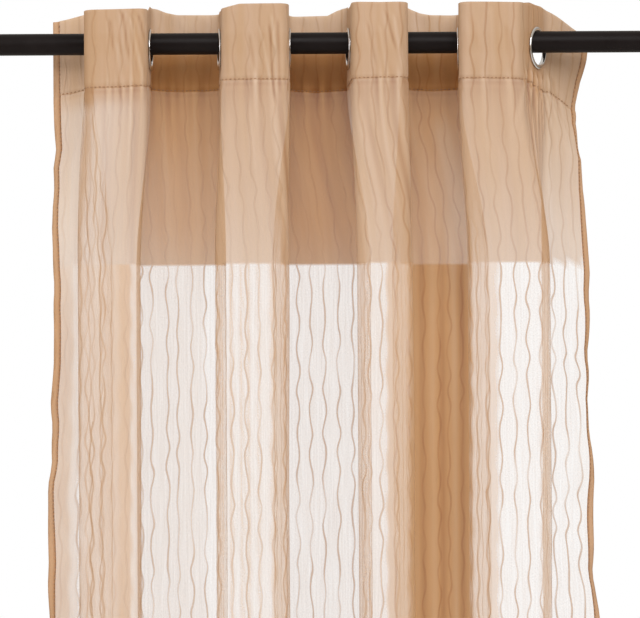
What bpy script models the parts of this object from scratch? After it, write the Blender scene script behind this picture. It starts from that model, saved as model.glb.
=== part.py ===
"""A sheer voile curtain with an eyelet heading, hanging on the plain round rod it is threaded on.

Metres, +Z up. The origin is the middle of the rod's axis, the rod runs along X, and the side
seen in the room faces -Y. The cloth is one strip in plan: at every height it is a row of folds,
each a half wall, a face and a half wall with round corners, whose length along the cloth is fixed.
"""
import math

import bpy
import numpy as np

# rod
ROD_RADIUS = 0.0127
ROD_LENGTH = 0.914
ROD_SIDES = 48
ROD_END_BEVEL = 0.001

# eyelets: a barrel with a flange on each face of the cloth
EYELET_COUNT = 8
EYELET_BORE_RADIUS = 0.020
EYELET_RIM_RADIUS = 0.025
EYELET_HALF_DEPTH = 0.0028
EYELET_WALL = 0.0010
EYELET_LIP = 0.0007
EYELET_STEPS = 40
TOUCH_GAP = 0.0003
EYELET_DROP = EYELET_BORE_RADIUS - ROD_RADIUS - TOUCH_GAP

# cloth, as cut and sewn
EYELET_PITCH = 0.165
EDGE_TO_EYELET = 0.0825
CLOTH_WIDTH = 2 * EDGE_TO_EYELET + (EYELET_COUNT - 1) * EYELET_PITCH
HEADING_TOP = 0.0395
HEADING_DEPTH = 0.089
HEADING_THICKNESS = 0.0018
CURTAIN_LENGTH = 2.134
VOILE_THICKNESS = 0.0012
HOLE_RADIUS = EYELET_BORE_RADIUS + EYELET_WALL + TOUCH_GAP
HEADING_FOOT = HEADING_TOP - HEADING_DEPTH
PANEL_TOP = HEADING_FOOT - TOUCH_GAP
HEM_HEIGHT = HEADING_TOP - CURTAIN_LENGTH

# the outer corners hang lower than the cloth that the end eyelets carry
LEFT_DROOP = 0.010
RIGHT_DROOP = 0.018
DROOP_START = 0.027

# folds at three heights: for each eyelet's line, how far along the cloth it lies, its place
# along the rod (both mm) and the wall's angle to the rod (degrees), then the tilt of each face
EYELET_LINES_HEADING = (
    (82.5, -271, 92), (247.5, -201, 90), (412.5, -118, 84), (577.5, -37, 90),
    (742.5, 34, 86), (907.5, 98, 93), (1072.5, 164, 94), (1237.5, 256, 61))
EYELET_LINES_MIDDLE = (
    (86, -258, 140), (234, -216, 99), (396, -118, 97), (560, -52, 111),
    (722, 54, 103), (886, 92, 104), (1066, 188, 115), (1248, 262, 95))
EYELET_LINES_HEM = (
    (88, -262, 132), (238, -218, 100), (400, -119, 98), (564, -53, 112),
    (728, 55, 103), (892, 96, 104), (1070, 190, 115), (1246, 262, 96))
FACE_TILTS_HEADING = (0, 2, -2, 1, 0, -2, 3, 4, 0)
FACE_TILTS_MIDDLE = (2, -3, -2, 2, 2, 1, -2, 2, 0)
FACE_TILTS_HEM = (4, -2, 3, -3, 2, 3, -3, 4, 0)

# bend radius, and the wall's length between an end eyelet's line and the flap outside it
CORNERS_HEADING = (0.011, 0.026)
CORNERS_MIDDLE = (0.007, 0.010)
CORNERS_HEM = (0.008, 0.010)
MIDDLE_HEIGHT = -0.27

# the right-hand edge swings back under the heading and again lower down: height, tilt (degrees)
RIGHT_EDGE_ROWS = (
    (HEADING_TOP, 2), (0.0, 8), (-0.075, 50), (-0.120, 44), (-0.175, 26), (MIDDLE_HEIGHT, 4),
    (-0.400, 26), (-0.500, 8), (-0.650, 3), (-1.200, 12), (HEM_HEIGHT, 5))

# rows of the panel's mesh, and how many straight pieces round off each part of a fold
PANEL_ROWS = (PANEL_TOP, -0.070, -0.090, -0.120, -0.150, -0.180, -0.220, MIDDLE_HEIGHT, -0.340,
              -0.400, -0.500, -0.650, -0.900, -1.200, -1.600, HEM_HEIGHT)
HEADING_ROWS = (HEADING_TOP, 0.0, -0.025, HEADING_FOOT)
CORNER_PIECES = 4


def clear_scene():
    for item in list(bpy.data.objects):
        bpy.data.objects.remove(item, do_unlink=True)


def collection(name, hidden=False):
    group = bpy.data.collections.new(name)
    bpy.context.scene.collection.children.link(group)
    group.hide_render = hidden
    return group


def principled(name, colour, roughness, metallic=0.0):
    material = bpy.data.materials.new(name)
    material.use_nodes = True
    shader = material.node_tree.nodes["Principled BSDF"]
    shader.inputs["Base Color"].default_value = (*colour, 1.0)
    shader.inputs["Roughness"].default_value = roughness
    shader.inputs["Metallic"].default_value = metallic
    material.diffuse_color = (*colour, 1.0)
    return material


def place(item, group, material):
    for owner in list(item.users_collection):
        owner.objects.unlink(item)
    group.objects.link(item)
    if material is not None:
        item.data.materials.append(material)
    return item


def smoothstep(value):
    value = min(max(value, 0.0), 1.0)
    return value * value * (3.0 - 2.0 * value)


def fold_settings(height):
    """The fold table at one height, blended between the three stated heights."""
    heading = (EYELET_LINES_HEADING, FACE_TILTS_HEADING, CORNERS_HEADING)
    middle = (EYELET_LINES_MIDDLE, FACE_TILTS_MIDDLE, CORNERS_MIDDLE)
    hem = (EYELET_LINES_HEM, FACE_TILTS_HEM, CORNERS_HEM)
    if height >= MIDDLE_HEIGHT:
        share = smoothstep((PANEL_TOP - height) / (PANEL_TOP - MIDDLE_HEIGHT))
        upper, lower = heading, middle
    else:
        share = (MIDDLE_HEIGHT - height) / (MIDDLE_HEIGHT - HEM_HEIGHT)
        upper, lower = middle, hem
    lines, tilts, corners = [
        (1 - share) * np.array(above, dtype=float) + share * np.array(below, dtype=float)
        for above, below in zip(upper, lower)]
    heights, right_tilts = np.array(RIGHT_EDGE_ROWS[::-1]).T
    tilts[-1] = np.interp(height, heights, right_tilts)
    along = lines[:, 0] / 1000.0
    across = lines[:, 1] / 1000.0
    sides = np.where(np.arange(EYELET_COUNT) % 2 == 0, -1.0, 1.0)
    return along, across, sides * np.radians(lines[:, 2]), np.radians(tilts), corners


def fold_pieces(height):
    """Straights and bends of the whole width as rows (length, end direction, mesh pieces)."""
    along, across, walls, tilts, (radius, end_wall) = fold_settings(height)
    corner = radius * abs(walls[0] - tilts[0])
    pieces = [(along[0] - corner - end_wall, tilts[0], 2),
              (corner, walls[0], CORNER_PIECES), (end_wall, walls[0], 1)]
    for fold in range(1, EYELET_COUNT):
        before, after, face = walls[fold - 1], walls[fold], tilts[fold]
        turns = (abs(face - before), abs(after - face))
        cuts = [radius * math.tan(turn / 2) for turn in turns]
        spare = sum(2 * cut - radius * turn for cut, turn in zip(cuts, turns))
        directions = np.array([before, face, after])
        wall_in, flat, wall_out = np.linalg.solve(
            np.array([np.cos(directions), np.sin(directions), np.ones(3)]),
            [across[fold] - across[fold - 1], 0.0, along[fold] - along[fold - 1] + spare])
        pieces += [(wall_in - cuts[0], before, 1), (radius * turns[0], face, CORNER_PIECES),
                   (flat - sum(cuts), face, 2),
                   (radius * turns[1], after, CORNER_PIECES), (wall_out - cuts[1], after, 1)]
    corner = radius * abs(walls[-1] - tilts[-1])
    pieces += [(end_wall, walls[-1], 1), (corner, tilts[-1], CORNER_PIECES),
               (CLOTH_WIDTH - along[-1] - end_wall - corner, tilts[-1], 2)]
    return pieces


def droop(along):
    left = smoothstep((EDGE_TO_EYELET - DROOP_START - along) / (EDGE_TO_EYELET - DROOP_START))
    right_start = CLOTH_WIDTH - EDGE_TO_EYELET + DROOP_START
    right = smoothstep((along - right_start) / (CLOTH_WIDTH - right_start))
    return -LEFT_DROOP * left - RIGHT_DROOP * right


def cloth_row(height):
    """Points of the cloth's middle surface at one height, in order along the cloth."""
    pieces = fold_pieces(height)
    points = [(0.0, 0.0, 0.0)]
    direction = pieces[0][1]
    for length, end_direction, count in pieces:
        turn = (end_direction - direction) / count
        for index in range(count):
            heading = direction + (index + 0.5) * turn
            chord = length / count
            if abs(turn) > 1e-6:
                chord *= math.sin(abs(turn) / 2) / (abs(turn) / 2)
            along, x, y = points[-1]
            points.append((along + length / count,
                           x + chord * math.cos(heading), y + chord * math.sin(heading)))
        direction = end_direction
    rows = np.array(points)
    first_along, first_across = (values[0] for values in fold_settings(height)[:2])
    rows[:, 1] += first_across - np.interp(first_along, rows[:, 0], rows[:, 1])
    rows[:, 2] -= np.interp(first_along, rows[:, 0], rows[:, 2])
    return [(x, y, height + droop(along)) for along, x, y in rows]


def cloth_sheet(name, heights, thickness, group, material):
    """A loft through the plan outline at each height, solidified about its middle surface."""
    grid = [cloth_row(height) for height in heights]
    columns = len(grid[0])
    points = [point for row in grid for point in row]
    faces = []
    for upper in range(len(heights) - 1):
        for column in range(columns - 1):
            corner = upper * columns + column
            faces.append((corner, corner + columns, corner + columns + 1, corner + 1))
    mesh = bpy.data.meshes.new(name)
    mesh.from_pydata(points, [], faces)
    sheet = place(bpy.data.objects.new(name, mesh), group, material)
    solid = sheet.modifiers.new("thickness", "SOLIDIFY")
    solid.thickness = thickness
    solid.offset = 0.0
    return sheet


def eyelet_places():
    """Centre and turn about Z of each eyelet: its axis is square to the wall that holds it."""
    _, across, walls, _, _ = fold_settings(PANEL_TOP)
    for number, (x, wall) in enumerate(zip(across, walls), start=1):
        yield number, (x, 0.0, -EYELET_DROP), wall - math.copysign(math.pi / 2, wall)


def make_rod(group, material):
    bpy.ops.mesh.primitive_cylinder_add(
        vertices=ROD_SIDES, radius=ROD_RADIUS, depth=ROD_LENGTH, rotation=(0, math.pi / 2, 0))
    rod = bpy.context.object
    rod.name = "rod"
    edge = rod.modifiers.new("end_edges", "BEVEL")
    edge.width = ROD_END_BEVEL
    edge.segments = 1
    edge.limit_method = "ANGLE"
    edge.angle_limit = math.radians(60)
    return place(rod, group, material)


def make_heading(group, cutters, material):
    heading = cloth_sheet("heading", HEADING_ROWS, HEADING_THICKNESS, group, material)
    for number, centre, turn in eyelet_places():
        bpy.ops.mesh.primitive_cylinder_add(
            vertices=EYELET_STEPS, radius=HOLE_RADIUS, depth=4 * EYELET_HALF_DEPTH,
            location=centre, rotation=(0, math.pi / 2, turn))
        cutter = place(bpy.context.object, cutters, None)
        cutter.name = f"eyelet_hole_{number}"
        cutter.display_type = "WIRE"
        cutter.hide_render = True
        cut = heading.modifiers.new(f"eyelet_hole_{number}", "BOOLEAN")
        cut.operation = "DIFFERENCE"
        cut.object = cutter
        cut.solver = "EXACT"
    return heading


def make_eyelet(number, centre, turn, group, material):
    """A grooved ring turned about its own X axis; the cloth sits in the groove."""
    groove = HEADING_THICKNESS / 2 + TOUCH_GAP
    barrel = EYELET_BORE_RADIUS + EYELET_WALL
    flange = (EYELET_RIM_RADIUS, (groove + EYELET_HALF_DEPTH) / 2)
    half = [(barrel, groove), (EYELET_RIM_RADIUS, groove), flange,
            ((barrel + EYELET_RIM_RADIUS) / 2, EYELET_HALF_DEPTH),
            (EYELET_BORE_RADIUS + EYELET_LIP, EYELET_HALF_DEPTH - EYELET_LIP / 2),
            (EYELET_BORE_RADIUS, EYELET_HALF_DEPTH - 2 * EYELET_LIP)]
    outline = [(radius, -depth) for radius, depth in half] + half[::-1]
    count = len(outline)
    mesh = bpy.data.meshes.new(f"eyelet_{number}")
    mesh.from_pydata([(depth, 0.0, radius) for radius, depth in outline],
                     [(index, (index + 1) % count) for index in range(count)], [])
    ring = place(bpy.data.objects.new(f"eyelet_{number}", mesh), group, material)
    screw = ring.modifiers.new("turned", "SCREW")
    screw.axis = "X"
    screw.steps = EYELET_STEPS
    screw.render_steps = EYELET_STEPS
    screw.use_merge_vertices = True
    screw.merge_threshold = 0.00001
    ring.location = centre
    ring.rotation_euler = (0.0, 0.0, turn)
    return ring


clear_scene()
curtain = collection("sheer_curtain_and_rod")
cutters = collection("cutters", hidden=True)
black_metal = principled("satin_black_metal", (0.012, 0.010, 0.010), 0.38)
chrome = principled("bright_chrome", (0.82, 0.83, 0.85), 0.12, metallic=1.0)
voile = principled("tan_voile", (0.70, 0.47, 0.29), 0.85)
double_voile = principled("tan_voile_double", (0.64, 0.41, 0.24), 0.85)
make_rod(curtain, black_metal)
make_heading(curtain, cutters, double_voile)
cloth_sheet("voile_panel", PANEL_ROWS, VOILE_THICKNESS, curtain, voile)
for eyelet_number, eyelet_centre, eyelet_turn in eyelet_places():
    make_eyelet(eyelet_number, eyelet_centre, eyelet_turn, curtain, chrome)
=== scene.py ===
import math

import bpy
import numpy as np
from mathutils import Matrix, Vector


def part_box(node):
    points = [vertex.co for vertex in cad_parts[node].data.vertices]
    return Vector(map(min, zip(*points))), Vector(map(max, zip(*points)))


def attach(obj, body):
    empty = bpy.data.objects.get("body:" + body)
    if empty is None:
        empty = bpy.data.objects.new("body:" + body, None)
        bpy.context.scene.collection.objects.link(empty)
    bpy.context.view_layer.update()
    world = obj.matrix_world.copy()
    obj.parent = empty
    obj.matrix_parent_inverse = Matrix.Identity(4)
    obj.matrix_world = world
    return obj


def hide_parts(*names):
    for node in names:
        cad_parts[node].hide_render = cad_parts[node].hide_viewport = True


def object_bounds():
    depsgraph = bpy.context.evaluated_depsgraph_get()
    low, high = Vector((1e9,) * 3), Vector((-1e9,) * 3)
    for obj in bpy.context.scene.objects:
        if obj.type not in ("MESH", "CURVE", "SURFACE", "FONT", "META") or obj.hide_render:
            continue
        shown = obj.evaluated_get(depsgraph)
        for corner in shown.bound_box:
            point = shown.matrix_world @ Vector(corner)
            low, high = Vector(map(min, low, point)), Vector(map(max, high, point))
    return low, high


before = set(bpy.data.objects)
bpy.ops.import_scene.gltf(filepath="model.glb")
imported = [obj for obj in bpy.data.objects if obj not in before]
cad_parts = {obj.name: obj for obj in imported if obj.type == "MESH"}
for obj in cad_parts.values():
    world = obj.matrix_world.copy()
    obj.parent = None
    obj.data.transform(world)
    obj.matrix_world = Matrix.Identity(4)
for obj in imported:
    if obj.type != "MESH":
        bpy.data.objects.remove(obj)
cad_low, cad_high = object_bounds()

# ---- Rod ----
# A plain steel tube, one inch thick, painted satin black. Its ends are closed by flush caps. It
# carries every eyelet, and its brackets stand outside the cloth on both sides.
rod_low, rod_high = [np.array(corner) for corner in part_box("rod")]
rod_radius = (rod_high[2] - rod_low[2]) / 2
rod_half_length = (rod_high[0] - rod_low[0]) / 2
rod_end_round = 0.0008
# the flush cap and the groove round it: how far inside the tube's outside, how deep (m)
rod_cap = ((rod_radius - 0.0001, 0.0), (0.0030, 0.0), (0.0022, 0.0004), (0.0014, 0.0))


def add_piece(name, points, faces, material):
    """A smooth mesh object at the origin from rows of points and rows of corner numbers."""
    mesh = bpy.data.meshes.new(name)
    mesh.from_pydata(points.reshape(-1, 3).tolist(), [], faces.tolist())
    mesh.polygons.foreach_set("use_smooth", np.ones(len(faces), dtype=bool))
    mesh.update()
    mesh.materials.append(material)
    piece = bpy.data.objects.new(name, mesh)
    bpy.context.scene.collection.objects.link(piece)
    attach(piece, "root")
    return piece


def grid_faces(rows, columns, wrap_rows=False, wrap_columns=False):
    """Four corner numbers for each cell of a grid of points, closed on itself where it wraps."""
    row = np.arange(rows if wrap_rows else rows - 1)[:, None]
    column = np.arange(columns if wrap_columns else columns - 1)[None, :]
    next_row, next_column = (row + 1) % rows, (column + 1) % columns
    corners = [row * columns + column, next_row * columns + column,
               next_row * columns + next_column, row * columns + next_column]
    return np.stack([corner.ravel() for corner in corners], axis=1)


def node_material(name):
    """A new node material with its Principled shader."""
    material = bpy.data.materials.new(name)
    material.use_nodes = True
    return material, material.node_tree, material.node_tree.nodes["Principled BSDF"]


def feed(node, **inputs):
    """Each input, by its name or by i and its number, is given a value or linked to a socket."""
    names = [socket.name.replace(" ", "_") for socket in node.inputs]
    for key, value in inputs.items():
        index = int(key[1:]) if key[0] == "i" and key[1:].isdigit() else names.index(key)
        if isinstance(value, bpy.types.NodeSocket):
            node.id_data.links.new(value, node.inputs[index])
        else:
            node.inputs[index].default_value = value


def add_node(tree, kind, settings=None, **inputs):
    """A new node with its settings and inputs."""
    node = tree.nodes.new(kind)
    for setting, value in (settings or {}).items():
        setattr(node, setting, value)
    feed(node, **inputs)
    return node


def maths(tree, operation, first, second=0.0, third=0.0, clamp=False):
    """One step of arithmetic on values or sockets."""
    return add_node(tree, "ShaderNodeMath", {"operation": operation, "use_clamp": clamp},
                    i0=first, i1=second, i2=third).outputs["Value"]


def mapped(tree, value, low, high, to_low=0.0, to_high=1.0, easing="LINEAR"):
    """A value carried from one range to another, and held at its ends."""
    return add_node(tree, "ShaderNodeMapRange", {"interpolation_type": easing}, Value=value,
                    From_Min=low, From_Max=high, To_Min=to_low, To_Max=to_high).outputs["Result"]


def mixed(tree, share, first, second, blend="MIX"):
    """Two colours, each three numbers or a socket, blended by a share of the second."""
    colours = [colour if isinstance(colour, bpy.types.NodeSocket) else (*colour, 1.0)
               for colour in (first, second)]
    return add_node(tree, "ShaderNodeMix", {"data_type": "RGBA", "blend_type": blend},
                    i0=share, i6=colours[0], i7=colours[1]).outputs[2]


def bumped(tree, height, strength, distance):
    """The shading normal of a fine relief."""
    return add_node(tree, "ShaderNodeBump", Height=height, Strength=strength,
                    Distance=distance).outputs["Normal"]


def solid_noise(tree, scale, detail):
    """Noise that fills the space of the object."""
    place = add_node(tree, "ShaderNodeTexCoord").outputs["Object"]
    return add_node(tree, "ShaderNodeTexNoise", Vector=place, Scale=scale,
                    Detail=detail).outputs["Fac"]


def satin_black_paint():
    """Black paint with a faint orange peel, and dust that dulls it in soft patches."""
    material, tree, shader = node_material("satin_black_paint")
    peel = solid_noise(tree, 900.0, 2.0)
    dust = solid_noise(tree, 28.0, 5.0)
    feed(shader, Base_Color=mixed(tree, dust, (0.006, 0.004, 0.004), (0.013, 0.010, 0.010)),
         Roughness=mapped(tree, dust, 0.35, 0.75, 0.30, 0.46), Specular_IOR_Level=0.08,
         Normal=bumped(tree, peel, 0.08, 0.0004))
    return material


def turned(outline, steps, closed):
    """Points (distance from the X axis, place on it) carried round the X axis in equal steps."""
    angle = np.linspace(0.0, 2 * math.pi, steps, endpoint=False)[None, :]
    radius, along = outline[:, :1], outline[:, 1:]
    points = np.stack([along + 0 * angle, radius * np.sin(angle), radius * np.cos(angle)], axis=2)
    return points, grid_faces(len(outline), steps, wrap_rows=closed, wrap_columns=True)


rod_corner = np.linspace(0.0, math.pi / 2, 5)
rod_end = np.stack([rod_radius - rod_end_round * (1 - np.sin(rod_corner)),
                    rod_half_length - rod_end_round * (1 - np.cos(rod_corner))], axis=1)
rod_right = np.concatenate([np.array([rod_radius, rod_half_length]) - rod_cap, rod_end])
rod_outline = np.concatenate([rod_right, rod_right[::-1] * (1, -1)])
rod_points, rod_faces = turned(rod_outline, 96, closed=False)
rod = add_piece("curtain_rod", rod_points, rod_faces[:, ::-1], satin_black_paint())
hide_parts("rod")

# ---- Folds of the hung cloth ----
# The curtain is one width of voile. Between eyelets it makes a fold: half a wall, a face and half
# a wall, in front of the rod and behind it in turn. Below the heading the folds drift and close.
eyelet_count = 8
eyelet_pitch = 0.165
edge_to_eyelet = 0.0825
cloth_width = 2 * edge_to_eyelet + (eyelet_count - 1) * eyelet_pitch
curtain_length = 2.134
heading_depth = 0.089
heading_top = 0.0395
heading_foot = heading_top - heading_depth
hem_height = heading_top - curtain_length
middle_height = -0.27
# drops below the top edge: of the eyelets' middles, and of the cloth just under their rims
eyelet_drop_line = 0.0465
under_rims = 0.070
# for each eyelet's line: how far along the cloth (mm), place along the rod (mm), wall angle
eyelet_lines = {
    "heading": ((82.5, -271, 92), (247.5, -201, 90), (412.5, -118, 84), (577.5, -37, 90),
                (742.5, 34, 86), (907.5, 98, 93), (1072.5, 164, 94), (1237.5, 256, 61)),
    "middle": ((92, -258, 140), (234, -216, 99), (396, -118, 97), (560, -52, 111),
               (722, 54, 103), (886, 92, 104), (1066, 188, 115), (1244, 262, 95)),
    "hem": ((97, -262, 132), (238, -218, 100), (400, -119, 98), (564, -53, 112),
            (728, 55, 103), (892, 96, 104), (1070, 190, 115), (1241, 262, 96))}
face_tilts = {"heading": (0, 2, -2, 1, 0, -2, 3, 4, 0), "middle": (2, -3, -2, 2, 2, 1, -2, 2, 0),
              "hem": (4, -2, 3, -3, 2, 3, -3, 4, 0)}
# bend radius, and the wall's length between an end eyelet's line and the flap outside it
corners = {"heading": (0.011, 0.026), "middle": (0.007, 0.010), "hem": (0.008, 0.010)}
# the right-hand edge swings back under the heading and again lower down: height, tilt
right_edge_rows = np.array([(hem_height, 5), (-1.200, 12), (-0.650, 3), (-0.500, 8), (-0.400, 26),
                            (-0.250, 8), (-0.185, 20), (-0.150, 24), (-0.114, 21), (-0.090, 31),
                            (-0.067, 43), (-0.043, 44), (-0.019, 35), (0.005, 20), (0.030, 12),
                            (heading_top, 8)])
# how far each side edge strays outwards: height, left (mm), right (mm)
edge_stray = np.array([(hem_height, 4, 4), (-0.655, 5, 8), (-0.631, 5, 6), (-0.607, 4, 1),
                       (-0.560, 6, 1), (-0.513, 7, 2), (-0.489, 2, 4), (-0.466, 2, 6),
                       (-0.442, 0, 6), (-0.418, 2, 7), (-0.395, 0, 6), (-0.371, -2, 5),
                       (-0.348, -2, 1), (-0.324, -2, 3), (-0.300, -1, 3), (-0.277, -2, 0),
                       (-0.230, 2, 0), (-0.206, 5, 0), (-0.182, 6, 0), (-0.159, 5, 0),
                       (-0.135, 5, 0), (-0.112, 0, 0), (heading_top, 0, 0)])
edge_stray_width = 0.070
left_droop = 0.009
right_droop = 0.022
droop_start = 0.027
# unevenness of the top edge: place along the cloth (mm), rise (mm)
top_edge = np.array([(0, 2), (60, 4), (110, -7), (165, -6), (225, -4), (262, 7), (285, 9),
                     (297, 9), (306, 5), (320, 2), (395, 1), (430, -3), (445, -5), (462, -4),
                     (478, 0), (577, 1), (600, 3), (630, 0), (672, 1), (684, 7), (690, 9),
                     (703, 9), (722, 4), (750, 2), (825, 0), (900, 1), (925, 9), (958, 12),
                     (968, 7), (978, 3), (990, 1), (1050, 0), (1080, 1), (1155, 1), (1180, 0.8),
                     (1195, 1.4), (1215, 4.3), (1235, 3.8), (1250, 4.0), (1262, 2.0), (1282, -1.3),
                     (1300, -4), (1320, -7)])
top_edge_depth = 0.0215
# unevenness of the heading's stitch line: place along the cloth (mm), rise (mm)
stitch_line = np.array([(0, 2), (70, 0), (105, -9), (165, -8), (215, -5), (260, 1), (330, -2),
                        (412, 0), (500, 1), (577, 1), (660, -3), (735, 2), (800, 1), (907, 2),
                        (990, -2), (1072, 1), (1155, 1), (1210, 0), (1237, -6), (1264, -8),
                        (1290, -5), (1320, -3)])
stitch_line_reach = 0.075
plan_step = 0.001


def smoothstep(value):
    """From 0 to 1 with a slow start and end: three times the square less twice the cube."""
    value = np.clip(value, 0.0, 1.0)
    return value * value * (3.0 - 2.0 * value)


def fold_table(height):
    """The fold settings at each height: the heading's, eased to the middle's, then the hem's."""
    to_middle = smoothstep((heading_foot - height) / (heading_foot - middle_height))
    to_hem = np.clip((middle_height - height) / (middle_height - hem_height), 0.0, 1.0)
    blended = []
    for table in (eyelet_lines, face_tilts, corners):
        heading, middle, hem = [np.asarray(table[key], dtype=float)
                                for key in ("heading", "middle", "hem")]
        shape = (len(height),) + (1,) * heading.ndim
        share, last = to_middle.reshape(shape), to_hem.reshape(shape)
        blended.append((1 - share) * heading + share * ((1 - last) * middle + last * hem))
    lines, tilts, bend_and_wall = blended
    tilts[:, -1] = np.interp(height, *right_edge_rows.T)
    side = np.where(np.arange(eyelet_count) % 2 == 0, -1.0, 1.0)
    return (lines[..., 0] / 1000, lines[..., 1] / 1000, side * np.radians(lines[..., 2]),
            np.radians(tilts), *bend_and_wall.T)


def fold_bends(height):
    """Every bend of the width at each height as (start, length, turn), from the left edge.

    In each fold the lengths of both half walls and the face follow from three conditions: they
    reach the next eyelet line, they come back to the rod's axis, and they use up the cloth
    between the two lines, less what the round corners save."""
    along, across, walls, tilts, radius, end_wall = fold_table(height)
    first = radius * abs(walls[:, 0] - tilts[:, 0])
    bends = [(along[:, 0] - end_wall - first, first, walls[:, 0] - tilts[:, 0])]
    for fold in range(1, eyelet_count):
        before, after, face = walls[:, fold - 1], walls[:, fold], tilts[:, fold]
        turns = np.stack([abs(face - before), abs(after - face)])
        cuts = radius * np.tan(turns / 2)
        spare = (2 * cuts - radius * turns).sum(axis=0)
        directions = np.stack([before, face, after], axis=1)
        system = np.stack([np.cos(directions), np.sin(directions), 0 * directions + 1], axis=1)
        wanted = np.stack([across[:, fold] - across[:, fold - 1], 0 * face,
                           along[:, fold] - along[:, fold - 1] + spare], axis=1)
        wall_in, flat, _ = np.linalg.solve(system, wanted[..., None])[..., 0].T
        start = along[:, fold - 1] + wall_in - cuts[0]
        bends.append((start, radius * turns[0], face - before))
        start = start + radius * turns[0] + flat - cuts.sum(axis=0)
        bends.append((start, radius * turns[1], after - face))
    last = radius * abs(walls[:, -1] - tilts[:, -1])
    bends.append((along[:, -1] + end_wall, last, tilts[:, -1] - walls[:, -1]))
    return tilts[:, 0], bends, along, across


def droop(along):
    """How far each side, outside its last eyelet, hangs below the rest at that place."""
    reach = edge_to_eyelet - droop_start
    return (left_droop * smoothstep(1 - along / reach)
            + right_droop * smoothstep(1 - (cloth_width - along) / reach))


def hang(along, drop, relief=0.0):
    """Where the cloth hangs: points for each drop below the top edge and each place along it.

    The plan direction at a height is the first face's tilt plus every bend turned so far; summing
    its cosine and sine along the width gives X and Y. Relief pushes the cloth to the room side."""
    height = heading_top - abs(drop)
    first_tilt, bends, lines, across = fold_bends(height)
    fine = np.linspace(0.0, cloth_width, round(cloth_width / plan_step) + 1)
    direction = first_tilt[:, None] + sum(
        turn[:, None] * np.clip((fine - start[:, None]) / length[:, None], 0.0, 1.0)
        for start, length, turn in bends)
    halfway = (direction[:, 1:] + direction[:, :-1]) / 2
    plan = np.zeros((2, len(drop), len(fine)))
    plan[0, :, 1:] = np.cumsum(np.cos(halfway), axis=1) * plan_step
    plan[1, :, 1:] = np.cumsum(np.sin(halfway), axis=1) * plan_step
    left = np.minimum((along / plan_step).astype(int), len(fine) - 2)
    share = along / plan_step - left
    plan_at, direction_at = [(1 - share) * grid[..., left] + share * grid[..., left + 1]
                             for grid in (plan, direction)]
    anchor_left = (lines[:, 0] / plan_step).astype(int)
    anchor_share = lines[:, 0] / plan_step - anchor_left
    rows = np.arange(len(drop))
    anchor = ((1 - anchor_share) * plan[:, rows, anchor_left]
              + anchor_share * plan[:, rows, anchor_left + 1])
    stray_left, stray_right = [np.interp(height, edge_stray[:, 0], side / 1000)[:, None]
                               for side in edge_stray.T[1:]]
    stray = (stray_right * smoothstep(1 - (cloth_width - along) / edge_stray_width)
             - stray_left * smoothstep(1 - along / edge_stray_width))
    x = plan_at[0] - anchor[0][:, None] + across[:, :1] + stray + np.sin(direction_at) * relief
    y = plan_at[1] - anchor[1][:, None] - np.cos(direction_at) * relief
    top_rise, seam_rise = [np.interp(along, table[:, 0] / 1000, table[:, 1] / 1000)
                           for table in (top_edge, stitch_line)]
    down = abs(drop)[:, None]
    at_top = np.clip(1 - down / top_edge_depth, 0.0, 1.0)
    at_seam = np.where(down < heading_depth,
                       smoothstep((down - under_rims) / (heading_depth - under_rims)),
                       smoothstep(1 - (down - heading_depth) / stitch_line_reach))
    z = height[:, None] - droop(along) + at_top * top_rise + at_seam * seam_rise
    return np.stack([x, y, z], axis=2)


# ---- Creases ----
# Thin cloth is never smooth: the faces of the folds are a little round, long ripples run down from
# the stitching, and the stitch line and the right-hand eyelet pull small puckers together.

# long creases: place along the cloth (mm), half width (mm), height (mm), drift (mm a metre),
# and the drops between which they show (m)
long_creases = np.array([
    (22, 7, 1.5, 14, 0.09, 0.8), (48, 9, -1.9, -10, 0.1, 1.6), (144, 6, 1.4, 40, 0.09, 0.55),
    (156, 6, -1.2, 34, 0.09, 0.3), (172, 9, 1.5, 26, 0.12, 1.1), (190, 6, -1.4, 20, 0.09, 1.9),
    (300, 10, 1.6, 36, 0.09, 0.7), (322, 7, -1.4, 24, 0.09, 0.4), (338, 9, 1.5, -14, 0.1, 1.3),
    (366, 8, -1.4, 18, 0.09, 2.05), (470, 7, -0.8, 42, 0.09, 0.42), (486, 6, 0.8, 42, 0.09, 0.3),
    (498, 7, -1.0, 45, 0.09, 0.8), (514, 5, 1.1, 35, 0.08, 0.6), (523, 4, -0.9, 31, 0.08, 0.6),
    (545, 6, -1.2, 12, 0.5, 2.00), (632, 10, 1.5, 60, 0.1, 0.9), (650, 7, -1.6, 80, 0.09, 0.45),
    (672, 8, 1.4, 70, 0.09, 0.5), (700, 9, 1.2, 6, 0.7, 2.05), (796, 6, 0.9, 46, 0.09, 0.45),
    (806, 5, -0.9, 49, 0.09, 0.4), (822, 7, 0.8, 42, 0.1, 0.8), (836, 5, -1.0, 35, 0.09, 0.55),
    (850, 7, 1.2, -10, 0.3, 1.9), (965, 8, 1.6, 60, 0.09, 0.5), (984, 7, -1.4, 70, 0.1, 0.6),
    (1008, 7, 1.4, 26, 0.1, 0.9), (1035, 7, -1.2, 18, 0.3, 1.9),
    (1122, 8, -0.7, 56, 0.09, 0.45), (1140, 7, 0.8, 53, 0.09, 0.6),
    (1160, 8, -0.8, 49, 0.09, 1.2), (1182, 7, 0.8, 42, 0.09, 0.7),
    (1206, 5, -1.5, 40, 0.09, 1.05), (1216, 4, 1.5, 40, 0.09, 0.7),
    (1268, 6, 1.5, 20, 0.1, 0.6), (1290, 7, -1.4, 10, 0.1, 1.5), (954, 4, -1.6, 4, 0.24, 2.1),
    (966, 5, 1.8, 6, 0.22, 2.1), (979, 4, -2.0, 2, 0.24, 2.1), (992, 5, 1.8, 4, 0.22, 2.1),
    (1003, 4, -1.6, 2, 0.24, 2.1)])
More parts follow.
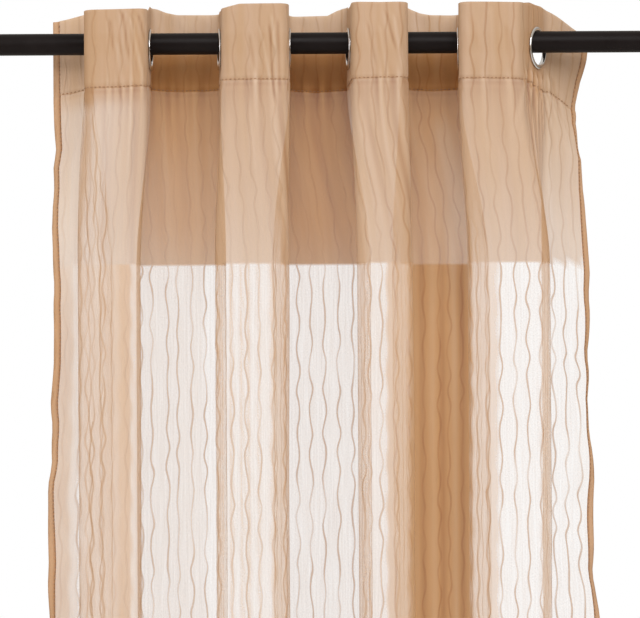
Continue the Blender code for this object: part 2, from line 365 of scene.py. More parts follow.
# creases that lean across the heading, measured in the same way from the top edge
heading_creases = np.array([
    (160, 2.6, -0.9, 60, 0.012, 0.06), (162, 2.6, 0.7, 130, 0.04, 0.1),
    (174, 2.4, -0.9, 120, 0, 0.07), (181, 2.4, 0.8, 190, 0.01, 0.09),
    (191, 2.6, -0.8, 210, 0.004, 0.05), (484, 2.6, -0.5, 150, 0.03, 0.086),
    (497, 2.4, 0.5, 180, 0.022, 0.1), (511, 2.2, -0.7, 60, 0.02, 0.12),
    (514, 2.2, 0.7, 90, 0.008, 0.06), (522, 2.4, -0.6, 20, 0.014, 0.11),
    (806, 2.4, -0.5, 190, 0.018, 0.08), (820, 2.6, 0.5, 150, 0.022, 0.1),
    (829, 2.4, -0.7, 240, 0.004, 0.06), (838, 2.4, 0.6, 160, 0.01, 0.09),
    (640, 8.0, -1.0, 100, 0, 0.089), (664, 7.0, 1.0, 60, 0.01, 0.089),
    (330, 8.0, 1.0, -60, 0, 0.089), (352, 7.0, -1.0, 40, 0, 0.089),
    (982, 7.0, -1.0, 60, 0, 0.089), (1002, 7.0, 0.9, -40, 0.01, 0.089),
    (1128, 3.0, -0.8, 150, 0.01, 0.06), (1152, 3.0, 0.8, 60, 0, 0.1),
    (1168, 3.0, -0.9, 110, 0.02, 0.11)])
# gathers under the right-hand eyelet: place, half width, height, sideways lean, how far they run
eyelet_gathers = np.array([
    (1203, 3.5, 2.0, -0.34, 0.05), (1212, 3, -2.6, -0.24, 0.06), (1219, 2.6, 2.6, -0.14, 0.07),
    (1226, 2.6, -2.8, -0.06, 0.085), (1233, 2.6, 2.8, 0, 0.09), (1240, 2.6, -2.8, 0.08, 0.085),
    (1247, 2.6, 2.6, 0.16, 0.07), (1255, 3, -2.6, 0.26, 0.06), (1265, 3.5, 2.2, 0.36, 0.05),
    (1276, 3.5, -1.8, 0.44, 0.045)])
crease_chance = np.random.default_rng(12)
pucker_count = 110
puckers = np.stack([
    np.linspace(4, 1316, pucker_count) + crease_chance.uniform(-4, 4, pucker_count),
    crease_chance.uniform(2.6, 5.0, pucker_count),
    crease_chance.uniform(-2.0, 2.2, pucker_count),
    crease_chance.uniform(0.015, 0.075, pucker_count)], axis=1)
# how far each kind fades in and out (m), and whether it drifts from its own start
crease_kinds = ((long_creases, 0.07, 0.30, True), (heading_creases, 0.012, 0.02, False))
gather_fade = 0.012
pucker_rise = 0.014
# how far a fold's face bulges, and how much more below the heading
face_bulge = 0.0022
lower_bulge = 0.0010
# the stitching lies in a dip of this depth and half width
seam_dip = 0.0012
seam_dip_width = 0.0030
# the side edges curl to and fro: height and width, then each side's period (m) and phase
edge_curl = 0.0045
edge_width = 0.022
edge_waves = ((0.170, 0.4), (0.128, 2.1))
# the cloth is pressed flat round each eyelet, out to this radius, and relaxes over this distance
pressed_radius = 0.026
pressed_fade = 0.012


def ridges(along, middle, half_width, height):
    """Rounded ridges: each a bell curve across the cloth about its middle, added together."""
    across = (along - middle / 1000) / (half_width / 1000)
    return (height / 1000 * np.exp(-across ** 2)).sum(axis=0)


def wandering_wave(down, period, phase, wander, wander_period):
    """A sine down the cloth, whose phase goes to and fro as a slower sine."""
    return np.sin(2 * math.pi * down / period + phase
                  + wander * np.sin(2 * math.pi * down / wander_period))


def from_eyelet(along, drop):
    """How far along, down and straight each place on the cloth is from the nearest eyelet."""
    nearest = edge_to_eyelet + eyelet_pitch * np.clip(
        np.round((along - edge_to_eyelet) / eyelet_pitch), 0, eyelet_count - 1)
    off_along = (along - nearest)[None, :]
    off_down = (abs(drop) - eyelet_drop_line)[:, None]
    return off_along, off_down, np.hypot(off_along, off_down)


def cloth_relief(along, drop):
    """How far the creased cloth stands off the smooth folds, towards the room."""
    down = abs(drop)[:, None]
    _, _, lines, _ = fold_bends(heading_top - abs(drop))
    below = smoothstep((down - heading_depth) / 0.05)
    total = np.zeros((len(drop), len(along)))
    for fold in range(1, eyelet_count):
        start, end = lines[:, fold - 1:fold], lines[:, fold:fold + 1]
        part = np.clip((along - start) / (end - start), 0.0, 1.0)
        side = 1.0 if fold % 2 else -1.0
        total += side * (face_bulge + lower_bulge * below) * np.sin(math.pi * part) ** 2
    for table, fade_in, fade_out, own_start in crease_kinds:
        place, width, height, drift, first, last = table.T[:, :, None, None]
        shown = smoothstep((down - first) / fade_in) * smoothstep((last - down) / fade_out)
        total += ridges(along, place + drift * (down - own_start * first), width, height * shown)
    place, width, height, lean, run = eyelet_gathers.T[:, :, None, None]
    under = down - under_rims
    shown = smoothstep(under / gather_fade) * np.exp(-(under.clip(0) / run) ** 2)
    total += ridges(along, place + lean * under * 1000, width, height * shown)
    place, width, height, run = puckers.T[:, :, None, None]
    from_line = down - heading_depth
    shown = np.where(from_line < 0, np.exp(from_line / pucker_rise), np.exp(-from_line / run))
    total += ridges(along, place, width, height * shown)
    total -= seam_dip * np.exp(-(from_line / seam_dip_width) ** 2)
    for edge_distance, (period, phase) in zip((along, cloth_width - along), edge_waves):
        turn_in = smoothstep(1 - edge_distance / edge_width) * below
        wave = wandering_wave(down, period, phase, wander=2.0, wander_period=0.61)
        total += edge_curl * turn_in * wave
    return total * smoothstep((from_eyelet(along, drop)[2] - pressed_radius) / pressed_fade)


# ---- Voile ----
# A fine polyester plain weave, woven with thick tan yarns that wander from side to side in pairs.
# The top is turned to the back over the heading's depth, so the heading is double and denser.
line_pitch = 0.0157
line_swing = 0.0020
line_period = 0.052


def voile_thread_group():
    """Wavy yarns, weave, creases with their painted shade, and tone of the voile, from the flat
    cloth's own metres.

    The nearest yarn's number is the width over the pitch, rounded. Its middle is set off by a
    chance of its own and swings as a sine of the drop, the other way for each next yarn. The mask
    is one within half a yarn of it and fades in and out along it."""
    group = bpy.data.node_groups.new("wavy_yarn_voile", "ShaderNodeTree")
    group.interface.new_socket("Cloth", in_out="INPUT", socket_type="NodeSocketVector")
    for output in ("Yarn", "Shade", "Streaks", "Painted_shade_of_creases", "Tone", "Height"):
        group.interface.new_socket(output, in_out="OUTPUT", socket_type="NodeSocketFloat")
    source = group.nodes.new("NodeGroupInput").outputs["Cloth"]
    sink = group.nodes.new("NodeGroupOutput")

    def value_of(*terms):
        return maths(group, *terms)

    def stretched_noise(across_scale, down_scale, kind="FBM", **inputs):
        place = add_node(group, "ShaderNodeVectorMath", {"operation": "MULTIPLY"}, i0=source,
                         i1=(across_scale, down_scale, 0.0)).outputs["Vector"]
        return add_node(group, "ShaderNodeTexNoise", {"noise_type": kind}, Vector=place,
                        Scale=1.0, **inputs).outputs["Fac"]

    def eased(value, low, high, to_low=0.0, to_high=1.0):
        return mapped(group, value, low, high, to_low, to_high, "SMOOTHSTEP")

    split = add_node(group, "ShaderNodeSeparateXYZ", Vector=source)
    across, down = split.outputs["X"], split.outputs["Y"]
    yarns = value_of("DIVIDE", across, line_pitch)
    number = value_of("ROUND", yarns)
    turn = value_of("MULTIPLY", value_of("FLOORED_MODULO", number, 2.0), math.pi)
    chance = add_node(group, "ShaderNodeTexWhiteNoise", {"noise_dimensions": "1D"},
                      W=number).outputs["Value"]
    phase = value_of("MULTIPLY_ADD", chance, 1.3, turn)
    wander = value_of("MULTIPLY", stretched_noise(13.0, 10.0, Detail=1.0), 7.0)
    waves = value_of("MULTIPLY_ADD", down, 2 * math.pi / line_period, wander)
    calm = eased(stretched_noise(24.0, 8.0, Detail=1.0), 0.36, 0.62, 0.50, 1.05)
    swing = value_of("MULTIPLY", value_of("SINE", value_of("ADD", waves, phase)),
                     value_of("MULTIPLY", calm, line_swing / line_pitch))
    drift = value_of("MULTIPLY_ADD", stretched_noise(60.0, 26.0, Detail=2.0), 0.22,
                     value_of("MULTIPLY_ADD", chance, 0.26, -0.24))
    middle = value_of("ADD", value_of("ADD", number, swing), drift)
    gap = value_of("ABSOLUTE", value_of("SUBTRACT", yarns, middle))
    fade = eased(stretched_noise(50.0, 9.0, Detail=1.0), 0.36, 0.54, 0.50, 1.0)
    yarn = value_of("MULTIPLY", eased(gap, 0.110, 0.015), fade)
    shade = value_of("MULTIPLY", yarn, eased(across, 0.50, 1.05, 0.50, 1.15))
    streaks = stretched_noise(420.0, 14.0, Detail=3.0)
    grain = stretched_noise(520.0, 700.0, Detail=1.0)
    ridge = stretched_noise(52.0, 7.0, "RIDGED_MULTIFRACTAL", Detail=2.0, Roughness=0.5,
                            Distortion=0.25, Gain=1.6)
    # the ridged creases: a relief, and also the mask of painted shade that darkens the colour
    # along them
    crease = eased(ridge, 0.95, 1.45)
    soft = stretched_noise(110.0, 9.0, Detail=4.0, Roughness=0.6)
    tone = stretched_noise(60.0, 4.0, Detail=2.0)
    relief = value_of("MULTIPLY_ADD", yarn, 0.22, soft)
    relief = value_of("MULTIPLY_ADD", crease, -0.35, relief)
    relief = value_of("MULTIPLY_ADD", grain, 0.06, relief)
    weave = value_of("MULTIPLY_ADD", grain, 0.4, value_of("MULTIPLY", streaks, 0.6))
    for output, value in (("Yarn", yarn), ("Shade", shade), ("Streaks", weave), ("Painted_shade_of_creases", crease),
                          ("Tone", tone), ("Height", relief)):
        group.links.new(value, sink.inputs[output])
    return group


voile_threads = voile_thread_group()


def voile_cloth(name, colour, deep_colour, yarn_share, yarn_cover):
    """Sheer tan cloth. How much it covers comes from the piece's attribute "cover", with more on
    the yarns and less between the streaks. "deep" turns it to a deeper colour: painted shade on
    the folds behind the pleats, a painted warm glow on dense bands, and darker edges on hems.
    A third attribute paints shade along the valley of a crease, and painted light on its back and
    on the places marked as lit."""
    material, tree, shader = node_material(name)
    cloth = add_node(tree, "ShaderNodeUVMap", {"uv_map": "cloth"}).outputs["UV"]
    threads = add_node(tree, "ShaderNodeGroup", {"node_tree": voile_threads}, Cloth=cloth)
    cover, deep, painted_shading = [add_node(tree, "ShaderNodeAttribute",
                                  {"attribute_name": key}).outputs["Fac"]
                         for key in ("cover", "deep", "painted_shading")]
    streak = mapped(tree, threads.outputs["Streaks"], 0.3, 0.7, -0.13, 0.13)
    bare = maths(tree, "SUBTRACT", 1.0, cover)
    ground = maths(tree, "MULTIPLY_ADD", bare, streak, cover, clamp=True)
    covered = add_node(tree, "ShaderNodeMix", {"data_type": "FLOAT"}, i0=threads.outputs["Yarn"],
                       i2=ground, i3=maths(tree, "MAXIMUM", cover, yarn_cover)).outputs[0]
    # painted shade in crease valleys and shaded places, and painted light on crease backs and lit
    # places
    painted_crease_shade = maths(tree, "MULTIPLY", painted_shading, 0.85, clamp=True)
    painted_light_share = maths(tree, "MULTIPLY", painted_shading, -0.22, clamp=True)
    # the deeper colour where "deep" says: painted shade and a painted glow on the voile, edges on
    # hems
    tint = mixed(tree, deep, colour, deep_colour)
    tint = mixed(tree, painted_crease_shade, tint, (0.66, 0.52, 0.42), "MULTIPLY")
    tint = mixed(tree, painted_light_share, tint, (0.95, 0.85, 0.74))
    shift = mapped(tree, threads.outputs["Tone"], 0.35, 0.65)
    tint = mixed(tree, shift, tint, (0.96, 0.92, 0.83), "MULTIPLY")
    # painted shade along the fine ridged creases
    tint = mixed(tree, threads.outputs["Painted_shade_of_creases"], tint, (0.86, 0.79, 0.72), "MULTIPLY")
    tint = mixed(tree, threads.outputs["Shade"], tint, yarn_share, "MULTIPLY")
    feed(shader, Base_Color=tint, Normal=bumped(tree, threads.outputs["Height"], 0.8, 0.0030),
         Roughness=0.85, Specular_IOR_Level=0.25, Sheen_Weight=0.25,
         Sheen_Tint=(0.86, 0.60, 0.38, 1.0))
    shine = add_node(tree, "ShaderNodeBsdfTranslucent", Color=tint)
    body = add_node(tree, "ShaderNodeMixShader", i0=0.30, i1=shader.outputs["BSDF"],
                    i2=shine.outputs["BSDF"])
    clear = add_node(tree, "ShaderNodeBsdfTransparent")
    whole = add_node(tree, "ShaderNodeMixShader", i0=covered, i1=clear.outputs["BSDF"],
                     i2=body.outputs["Shader"])
    feed(tree.nodes["Material Output"], Surface=whole.outputs["Shader"])
    return material


# its deeper colour is the painted shade of the folds behind the pleats
tan_voile = voile_cloth("sheer_voile", (0.61, 0.42, 0.282), (0.59, 0.325, 0.135),
                        (0.88, 0.79, 0.70), 0.74)

# how much a single layer covers above the open part, on the pleats and on the folds behind them:
# drop (m), share of light it stops
pleat_cover = np.array([(0.0, 0.88), (0.087, 0.885), (0.092, 0.93), (0.15, 0.91), (0.20, 0.88),
                        (0.30, 0.76)])
fold_cover = np.array([(0.0, 0.93), (0.089, 0.95), (0.15, 0.93), (0.20, 0.90), (0.30, 0.86)])
# its share in bands, from, to (mm), share: the layers hidden behind a pleat are the thinnest
cover_share = ((0, 30, 0.83), (36, 118, 0.05), (126, 126, 0.78), (152, 152, 0.8),
               (172, 172, 0.88), (190, 190, 0.95), (205, 205, 0.97), (285, 285, 0.94),
               (330, 380, 0.98), (545, 545, 1.01), (552, 590, 0.2), (597, 597, 1.05),
               (690, 690, 1.03), (697, 763, 0.25), (770, 770, 1.05), (850, 850, 1.03),
               (856, 928, 0.3), (934, 934, 1.02), (985, 985, 0.98), (998, 1012, 0.94),
               (1018, 1088, 0.2), (1094, 1200, 0.98), (1260, 1260, 0.85), (1320, 1320, 0.83))
# in the heading, every place of that table lies further along the cloth by (mm)
share_drift = 10
first_pleat_end = 0.2
# below this drop the weave opens across the whole width, and stays dense only where folds bunch:
# bands as above, with the cover itself
open_drop = 0.300
open_fade = 0.003
open_cover = ((0, 22, 0.69), (26, 31, 0.5), (38, 122, 0.12), (133, 133, 0.53), (158, 158, 0.55),
              (166, 166, 0.62), (176, 176, 0.7), (182, 191, 0.82), (194, 197, 0.5),
              (200, 200, 0.6), (206, 256, 0.48), (263, 340, 0.34), (347, 376, 0.23),
              (384, 432, 0.08), (436, 445, 0.46), (448, 448, 0.26), (451, 451, 0.3),
              (454, 454, 0.6), (457, 463, 0.3), (466, 466, 0.56), (469, 471, 0.3),
              (474, 474, 0.6), (477, 483, 0.3), (486, 486, 0.48), (489, 497, 0.32),
              (501, 501, 0.51), (525, 525, 0.53), (532, 592, 0.15), (597, 690, 0.29),
              (697, 766, 0.12), (771, 786, 0.46), (789, 804, 0.35), (808, 808, 0.72),
              (836, 836, 0.74), (842, 936, 0.12), (942, 1012, 0.96), (1017, 1100, 0.12),
              (1106, 1141, 0.51), (1146, 1146, 0.2), (1192, 1192, 0.18), (1195, 1203, 0.56),
              (1208, 1258, 0.2), (1264, 1320, 0.18))
# the edges of its bands waver as the yarns do: reach (mm), turn with the place (radians a metre)
band_waver = 1.1
band_turn = 55
# bands that cover more than this are painted warmer and lighter, a painted glow of light
# through them, by these shares
band_cover = 0.40
band_fade = 0.06
band_painted_glow = 0.65
band_painted_light = 0.55
# painted shade deepens the folds behind the pleats, as far as they show: place (mm) at the
# heading and lower down. The last stays deep to the foot.
shaded_back_folds = (((272, 382), (266, 376)), ((602, 702), (597, 690)), ((942, 1032), (940, 1014)))
fold_fade = 0.005
# above the rod they get painted light, and below this drop the rod's painted shadow
shade_drop = 0.027
shade_fade = 0.025
# what follows holds near the top, and fades out by this drop
top_foot = 0.36
top_fade = 0.12
# deeper colour by place (mm) as painted shade, and more of it where the cloth is thin
top_depth = np.array([(42, 0.55), (52, 0.10), (200, 0.10), (215, 0), (1193, 0), (1205, 0.5),
                      (1250, 0.5), (1262, 0)])
thin_share = 0.7
thin_fade = 0.3
hidden_shade_depth = 0.3
# painted light by place (mm), and in bands down three pleats: place (mm), half width (mm),
# strength
top_light = np.array([(42, 1.2), (52, 0), (1255, 0), (1270, 0.5)])
light_bands = ((785, 12, 0.35), (1000, 16, 0.60), (1108, 10, 0.35))
# painted light on the heading's pleats, and the painted shade that takes it away: the heading's
# shade on the cloth under it, the shade deep in the middle fold, and the shade on the turned layer
# at the foot of the heading's back
heading_light = 0.20
seam_shade = 0.45
seam_shade_reach = 0.024
middle_fold_shade = 0.30
turned_foot_shade = 0.22
turned_foot_drop = 0.060


def across_bands(place, bands):
    """The bands' values at a place, in a straight line from the end of each to the next."""
    start, end, value = np.array(bands).T
    return np.interp(place, np.stack([start, end], axis=1).ravel(), np.repeat(value, 2))


def between(place, start, end, fade):
    """One between two places, fading over a distance at both."""
    return smoothstep((place - start) / fade + 0.5) * smoothstep((end - place) / fade + 0.5)


def cover_and_depth(along, drop):
    """From the tables: how much one layer covers, how much painted shade deepens its colour, and
    how much painted light falls on it. Below the heading each value eases to its lower one, and at
    the open drop the cover changes to the open weave's."""
    down = abs(drop)[:, None]
    place = along * 1000
    in_heading, under_seam = down < heading_depth, down > heading_depth
    from_seam = (down - heading_depth).clip(0)
    lower = smoothstep(from_seam / (heading_top - middle_height - heading_depth))
    folds = [between(place, start + (start_low - start) * lower, end + (end_low - end) * lower,
                     fold_fade * 1000) for (start, end), (start_low, end_low) in shaded_back_folds]
    fold = sum(folds)
    shaded = smoothstep((down - shade_drop) / shade_fade)
    near_top = smoothstep((top_foot - down) / top_fade)
    part = smoothstep((down + droop(along) - open_drop) / open_fade + 0.5)

    share = across_bands(place - share_drift * (1 - lower), cover_share)
    waver = band_waver * np.sin(2 * math.pi * down / line_period + band_turn * along)
    opened = across_bands(place + waver, open_cover)
    band = part * np.clip((opened - band_cover) / band_fade, 0.0, 1.0) * (1 - fold)
    thin = hidden_shade_depth * np.clip((thin_share - share) / thin_fade, 0.0, 1.0)
    # painted shade on the back folds, by place and on hidden layers, and a painted warm glow on
    # bands
    deep = (((folds[0] + folds[1]) * near_top + folds[2]) * shaded + band_painted_glow * band
            + near_top * (np.interp(place, *top_depth.T) + thin))

    # painted light, and where it is below naught painted shade, from the tables above
    bands = sum(strength * np.exp(-((place - middle) / half_width) ** 2)
                for middle, half_width, strength in light_bands)
    lit = (fold * (1 - shaded) + heading_light * (1 - fold) * in_heading
           + near_top * (np.interp(place, *top_light.T) + bands * smoothstep((down - 0.10) / 0.05))
           - seam_shade * np.exp(-from_seam / seam_shade_reach) * under_seam
           - middle_fold_shade * folds[1] * shaded
           - turned_foot_shade * fold * smoothstep((down - turned_foot_drop) / 0.020) * in_heading
           + band_painted_light * band)

    front, back = [np.interp(down, *table.T) for table in (pleat_cover, fold_cover)]
    eased = np.where(along < first_pleat_end, smoothstep(from_seam / 0.03), lower)
    dense = (front + (back - front) * fold) * (1 + (share - 1) * eased)
    return dense + (opened - dense) * part, deep, lit


def set_values(piece, name, values):
    """A number for each point of the piece, kept as an attribute that its material reads."""
    attribute = piece.data.attributes.new(name, "FLOAT", "POINT")
    attribute.data.foreach_set("value", np.asarray(values, dtype=float).ravel())


def lay_flat(piece, faces, along, drop):
    """The flat cloth's own metres as the UV map of a grid of places and drops."""
    flat = np.stack(np.broadcast_arrays(along[None, :], drop[:, None]), axis=2).reshape(-1, 2)
    piece.data.uv_layers.new(name="cloth").data.foreach_set("uv", flat[faces].ravel())


def cloth_piece(name, along, drop, relief, points, keep=slice(None)):
    """A sheet from a grid of points, less the cells that aren't kept.

    A third attribute paints shade where the relief bends to a valley across and down the cloth,
    and painted light where it bends out and on lit places."""
    faces = grid_faces(len(drop), len(along))[keep]
    piece = add_piece(name, points, faces, tan_voile)
    lay_flat(piece, faces, along, drop)
    cover, deep, lit = cover_and_depth(along, drop)
    bent = (np.gradient(np.gradient(relief, along, axis=1), along, axis=1)
            + np.gradient(np.gradient(relief, drop, axis=0), drop, axis=0))
    painted_shading = np.clip(bent / sharpest_bend, -1, 1) - light_strength * lit
    for key, values in (("cover", cover), ("deep", deep), ("painted_shading", painted_shading)):
        set_values(piece, key, np.broadcast_to(values, relief.shape))
    return piece


# the bend (per metre) painted full shade, and how many full shades full painted light undoes
sharpest_bend = 170
light_strength = 1.3
side_hem_width = 0.0085
turned_gap = 0.0012
# rows down the cloth: from, to (m), how many. The two rows at the open drop stand close.
row_spans = ((turned_gap / 2, heading_depth, 30), (heading_depth + 0.004, 0.25, 38),
             (0.26, 0.29, 4), (open_drop - open_fade / 2, open_drop + open_fade / 2, 2),
             (0.311, 0.75, 38), (0.78, curtain_length, 38))
front_rows = np.concatenate([np.linspace(*span) for span in row_spans])
turned_rows = front_rows[:row_spans[0][2]]
sheet_drop = np.concatenate([-turned_rows[::-1], [0.0], front_rows])
# columns along the cloth, with more between them where sharp creases gather: from, to (m)
sheet_edge = side_hem_width - 0.0008
column_count = 437
fine_step = 0.003
fine_spans = ((0.1515, 0.2010), (0.4845, 0.5310), (0.8055, 0.8490), (1.1985, 1.2750))
sheet_along = np.unique(np.concatenate(
    [np.linspace(sheet_edge, cloth_width - sheet_edge, column_count)]
    + [np.arange(start, end, fine_step) for start, end in fine_spans]))
layer = np.clip(0.5 - sheet_drop / turned_gap, 0.0, 1.0)[:, None] * turned_gap
sheet_relief = cloth_relief(sheet_along, sheet_drop)
sheet_points = hang(sheet_along, sheet_drop, sheet_relief - layer)

# the eyelets' holes: grid points near the hole's edge move onto it, and the cells inside go
hole_radius = 0.0222
hole_snap = 0.0021
off_along, off_down, distance = from_eyelet(sheet_along, sheet_drop)
pull = np.where(abs(distance - hole_radius) < hole_snap, hole_radius / distance - 1, 0.0)
wall_way = np.gradient(sheet_points[..., :2], sheet_along, axis=1)
sheet_points[..., :2] += wall_way * (off_along * pull)[..., None]
sheet_points[..., 2] -= off_down * pull
distance += pull * distance
cell_distance = (distance[1:, 1:] + distance[1:, :-1]
                 + distance[:-1, 1:] + distance[:-1, :-1]) / 4
voile = cloth_piece("voile", sheet_along, sheet_drop, sheet_relief, sheet_points,
                    (cell_distance > hole_radius).ravel())
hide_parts("voile_panel", "heading")

# ---- Hems ----
# Each side is turned twice to a narrow, stiff hem that wavers, and the foot is turned up and
# sewn. Three layers of voile make them nearly solid.
hem_voile = voile_cloth("hemmed_voile", (0.70, 0.47, 0.30), (0.50, 0.26, 0.12),
                        (0.90, 0.85, 0.80), 0.95)
hem_cover = 0.93
side_hem_half = 0.0008
hem_profile = np.linspace(0.0, 2 * math.pi, 14, endpoint=False)
hem_squareness = 0.4
# a hem is deep in colour along its stitching and, by half, along its fold: half widths (m)
stitched_edge = 0.0022
folded_edge = 0.0012
# the step, across the cloth and out of it, by which its directions are measured
small_step = 0.001


def side_hem(name, edge, inward, least, most, phase):
    """A flat tube down one edge: a rounded oblong carried from top to foot.

    Below the heading it turns about its stitching, to and fro between two angles, so that it
    shows now its face and now its edge."""
    across = edge + inward * side_hem_width * (0.5 - 0.5 * np.cos(hem_profile))
    swell = np.sin(hem_profile)
    thick = side_hem_half * np.sign(swell) * abs(swell) ** hem_squareness
    behind = np.where(front_rows < heading_depth, turned_gap / 2, 0.0)[:, None]
    seam = np.array([edge + inward * side_hem_width])
    seam_relief = cloth_relief(seam, front_rows) - behind
    base = hang(seam, front_rows, seam_relief)
    along_way = (hang(seam + small_step, front_rows, seam_relief) - base) / small_step * (1, 1, 0)
    out_way = (hang(seam, front_rows, seam_relief + small_step) - base) / small_step
    reach = (across - seam)[None, :, None]
    wave = wandering_wave(front_rows, 0.23, phase, wander=1.8, wander_period=0.71)
    swing = np.radians(least + (most - least) * (0.5 + 0.5 * wave))
    swing = (swing * smoothstep((front_rows - heading_depth) / 0.06))[:, None, None]
    points = (base + along_way * (reach * np.cos(swing))
              + out_way * (thick[None, :, None] * np.cos(swing) - abs(reach) * np.sin(swing)))
    points[..., 2] = hang(across, front_rows)[..., 2]
    faces = grid_faces(len(front_rows), len(across), wrap_columns=True)
    faces = faces if inward > 0 else faces[:, ::-1]
    piece = add_piece(name, points, faces, hem_voile)
    lay_flat(piece, faces, across, front_rows)
    set_values(piece, "cover", np.full(points.shape[:2], hem_cover))
    from_seam = abs(reach[..., 0])
    edges = (np.exp(-(from_seam / stitched_edge) ** 2)
             + 0.5 * np.exp(-((from_seam - side_hem_width) / folded_edge) ** 2))
    set_values(piece, "deep", np.broadcast_to(edges, points.shape[:2]))
    return piece


left_hem = side_hem("left_side_hem", 0.0, 1.0, 0, 38, 0.6)
right_hem = side_hem("right_side_hem", cloth_width, -1.0, 14, 46, 2.9)

foot_hem_depth = 0.038
# rows of the turned-up layer: height over the foot, distance behind the front layer (m)
foot_up, foot_layer = np.array([(foot_hem_depth, 0.0010), (foot_hem_depth * 0.75, 0.0012),
                                (foot_hem_depth / 2, 0.0012), (foot_hem_depth / 4, 0.0012),
                                (0.0012, 0.0010), (0.0002, 0.0002)]).T
foot_rows = curtain_length - foot_up
foot_relief = cloth_relief(sheet_along, foot_rows)
foot_points = hang(sheet_along, foot_rows, foot_relief - foot_layer[:, None])
foot_hem = cloth_piece("foot_hem", sheet_along, foot_rows, foot_relief, foot_points)

# ---- Stitching ----
# Lockstitch in tan polyester thread: one row closes the heading, one each hem. Every stitch is a
# short bead that dips into the cloth at both ends.
stitch_length = 0.0033
stitch_gap = 0.0014
thread_radius = 0.00060
# a stitch's rings: place along it, then its thickness and its height by the thread's radius
bead_rings = np.array([(0.0, 0.15, -0.6), (0.2, 0.85, 0.3), (0.5, 1.0, 0.8), (0.8, 0.85, 0.3),
                       (1.0, 0.15, -0.6)])


def bead_rows(starts, ends, outward):
    """A tube of six-sided rings for each stitch, thin and sunk at both ends."""
    part, swell, rise = bead_rings.T
    swell, rise = swell * thread_radius, rise * thread_radius
    turn = np.linspace(0.0, 2 * math.pi, 6, endpoint=False)
    way = ends - starts
    way /= np.linalg.norm(way, axis=1, keepdims=True)
    side = np.cross(way, outward)
    middle = (starts[:, None] + part[None, :, None] * (ends - starts)[:, None]
              + rise[None, :, None] * outward[:, None])
    ring = (np.cos(turn)[None, :, None] * side[:, None]
            + np.sin(turn)[None, :, None] * outward[:, None])
    points = middle[:, :, None] + swell[None, :, None, None] * ring[:, None]
    one = grid_faces(len(part), len(turn), wrap_columns=True)
    faces = one[None] + (np.arange(len(starts)) * len(part) * len(turn))[:, None, None]
    return points, faces.reshape(-1, 4)


def stitch_places(along, drop, lift):
    """Points on the cloth for pairs of places, and the cloth's outward direction there."""
    relief = cloth_relief(along, drop) + lift
    points = hang(along, drop, relief)
    outward = (hang(along, drop, relief + small_step) - points).reshape(-1, 3)
    return points.reshape(-1, 3), outward / np.linalg.norm(outward, axis=1, keepdims=True)


def polyester_thread():
    """Tan thread, darkened partly to its own brown and partly with painted shade of the dip it
    sits in, with a low sheen and a fine twist along its length.
    """
    material, tree, shader = node_material("polyester_thread")
    twist = solid_noise(tree, 2500.0, 2.0)
    feed(shader, Base_Color=mixed(tree, twist, (0.26, 0.13, 0.06), (0.42, 0.23, 0.12)),
         Roughness=0.5, Sheen_Weight=0.2)
    return material


thread = polyester_thread()


def stitch_ends(start, end):
    """Where each stitch of a row starts and ends, one after another."""
    starts = np.arange(start, end, stitch_length + stitch_gap)
    return np.sort(np.concatenate([starts, starts + stitch_length]))


def sew(name, along, drop, lift):
    """A row of stitches along the cloth at one drop, or down it at one place."""
    points, outward = stitch_places(along, drop, lift)
    seam = add_piece(name, *bead_rows(points[::2], points[1::2], outward[::2]), thread)
    return seam


across_ends = stitch_ends(0.010, cloth_width - 0.013)
down_ends = stitch_ends(0.004, curtain_length - 0.006)
heading_line = heading_depth - 0.0015
foot_line = curtain_length - foot_hem_depth + 0.002
side_line = side_hem_width - 0.0010
cloth_lift = 0.0001
hem_lift = side_hem_half - 0.0003
heading_seam = sew("heading_stitching", across_ends, np.array([heading_line]), cloth_lift)
foot_seam = sew("foot_stitching", across_ends, np.array([foot_line]), cloth_lift)
left_seam = sew("left_side_stitching", np.array([side_line]), down_ends, hem_lift)
right_seam = sew("right_side_stitching", np.array([cloth_width - side_line]), down_ends, hem_lift)

# ---- Eyelets ----
# Pressed steel, chrome plated: a rolled front ring and a flatter back ring are crimped together
# through the doubled heading. They slide on the rod and carry the whole curtain.
eyelet_clearance = 0.0003
# a ring's section, from the front flange round its rim, bore and back: radius, depth (mm)
eyelet_outline = np.array([
    (21.6, 1.1), (24.4, 1.0), (24.9, 1.2), (25.0, 1.6), (24.8, 2.0), (24.0, 2.5), (23.0, 2.8),
    (22.0, 2.8), (21.1, 2.6), (20.4, 2.2), (20.1, 1.6), (20.0, 0.8), (20.0, -0.8), (20.1, -1.6),
    (20.5, -2.1), (21.2, -2.4), (22.6, -2.5), (24.0, -2.4), (24.8, -2.1), (25.0, -1.7),
    (24.8, -1.3), (24.3, -1.1), (21.6, -1.1)]) / 1000


def bright_chrome():
    """Chrome plate, a little clouded by handling."""
    material, tree, shader = node_material("bright_chrome")
    marks = solid_noise(tree, 180.0, 6.0)
    feed(shader, Base_Color=mixed(tree, marks, (0.80, 0.81, 0.83), (0.68, 0.69, 0.71)),
         Roughness=mapped(tree, marks, 0.3, 0.75, 0.06, 0.20), Metallic=1.0)
    return material


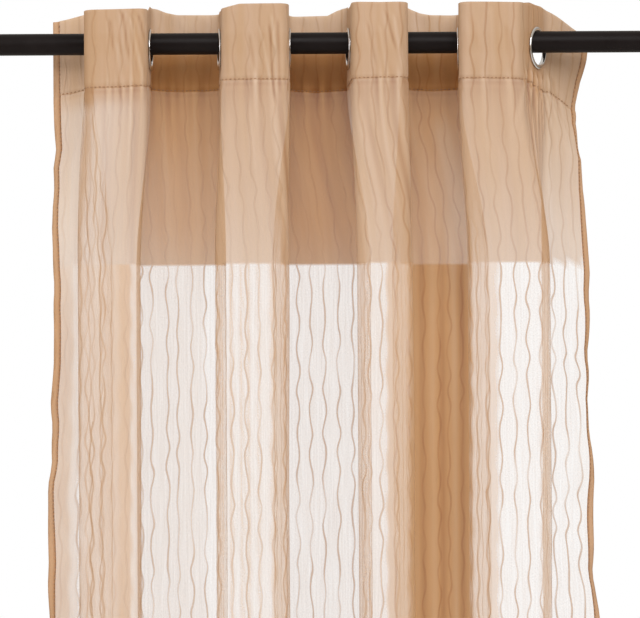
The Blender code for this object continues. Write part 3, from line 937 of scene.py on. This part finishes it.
chrome = bright_chrome()
ring_points, ring_faces = turned(eyelet_outline, 72, closed=True)
eyelet_drop = eyelet_outline[:, 0].min() - rod_radius - eyelet_clearance
for number, (_, rod_place, wall_angle) in enumerate(eyelet_lines["heading"], start=1):
    turn = math.radians(90 - wall_angle if number % 2 else wall_angle - 90)
    swing = np.array([[math.cos(turn), math.sin(turn), 0.0],
                      [-math.sin(turn), math.cos(turn), 0.0], [0.0, 0.0, 1.0]])
    facing = np.array([-1.0 if number % 2 else 1.0, 1.0, 1.0])
    placed = (ring_points * facing) @ swing + (rod_place / 1000, 0.0, -eyelet_drop)
    eyelet = add_piece(f"eyelet_ring_{number}", placed,
                       ring_faces if number % 2 == 0 else ring_faces[:, ::-1], chrome)
    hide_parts(f"eyelet_{number}")

# ---- Floor, light and camera ----
# A pale floor a little below the hem, an even white surround, and soft lamps in front.
floor_reach = 8.0
floor_height = cad_low[2] - 0.02
floor_corners = [(x * floor_reach, y * floor_reach, floor_height)
                 for x, y in ((-1, -1), (1, -1), (1, 1), (-1, 1))]
floor_mesh = bpy.data.meshes.new("floor")
floor_mesh.from_pydata(floor_corners, [], [(0, 1, 2, 3)])
floor = bpy.data.objects.new("floor", floor_mesh)
bpy.context.scene.collection.objects.link(floor)


def pale_floor():
    """Pale cast floor with soft clouds of tone and a fine sanded grain."""
    material, tree, shader = node_material("pale_floor")
    clouds = solid_noise(tree, 1.4, 6.0)
    grain = solid_noise(tree, 160.0, 3.0)
    feed(shader, Base_Color=mixed(tree, clouds, (0.90, 0.89, 0.88), (0.83, 0.82, 0.80)),
         Roughness=mapped(tree, grain, 0.3, 0.7, 0.55, 0.78),
         Normal=bumped(tree, grain, 0.15, 0.001))
    return material


floor_mesh.materials.append(pale_floor())

world = bpy.data.worlds.new("studio")
bpy.context.scene.world = world
world.use_nodes = True
world_tree = world.node_tree
seen = add_node(world_tree, "ShaderNodeLightPath").outputs["Is Camera Ray"]
sky = add_node(world_tree, "ShaderNodeTexCoord").outputs["Generated"]
upward = add_node(world_tree, "ShaderNodeSeparateXYZ", Vector=sky).outputs["Z"]
fill = mixed(world_tree, upward, (0.30, 0.243, 0.183), (0.80, 0.75, 0.68))
feed(world_tree.nodes["Background"], Color=mixed(world_tree, seen, fill, (1.0, 1.0, 1.0)))


def soft_lamp(name, place, aim, size, power):
    """A square area lamp at a place, turned towards a point."""
    light = bpy.data.lights.new(name, "AREA")
    light.size = size
    light.energy = power
    lamp = bpy.data.objects.new(name, light)
    bpy.context.scene.collection.objects.link(lamp)
    lamp.location = place
    lamp.rotation_euler = (aim - lamp.location).to_track_quat("-Z", "Y").to_euler()


lamp_aim = Vector((0.0, 0.0, -0.6))
soft_lamp("right_lamp", (2.3, -2.0, 1.2), lamp_aim, 1.2, 24)
soft_lamp("left_lamp", (-2.3, -2.2, 0.2), lamp_aim, 1.4, 26)
soft_lamp("front_lamp", (0.2, -2.5, 1.35), lamp_aim, 1.9, 56)

# the photograph is 0.755 m wide at the rod's distance, and was taken level, 0.31 m under the rod
camera_distance = 2.35
photo_width = 0.755
camera_side = -0.0018
camera_height = -0.3135
camera_roll = math.radians(0.31)
camera = bpy.data.objects.new("camera", bpy.data.cameras.new("camera"))
bpy.context.scene.collection.objects.link(camera)
camera.data.lens = camera.data.sensor_width * camera_distance / photo_width
camera.location = (camera_side, -camera_distance, camera_height)
camera.rotation_euler = (math.pi / 2, camera_roll, 0.0)
bpy.context.scene.camera = camera
bpy.context.scene.view_settings.view_transform = "Standard"
bpy.context.scene.cycles.transparent_max_bounces = 32
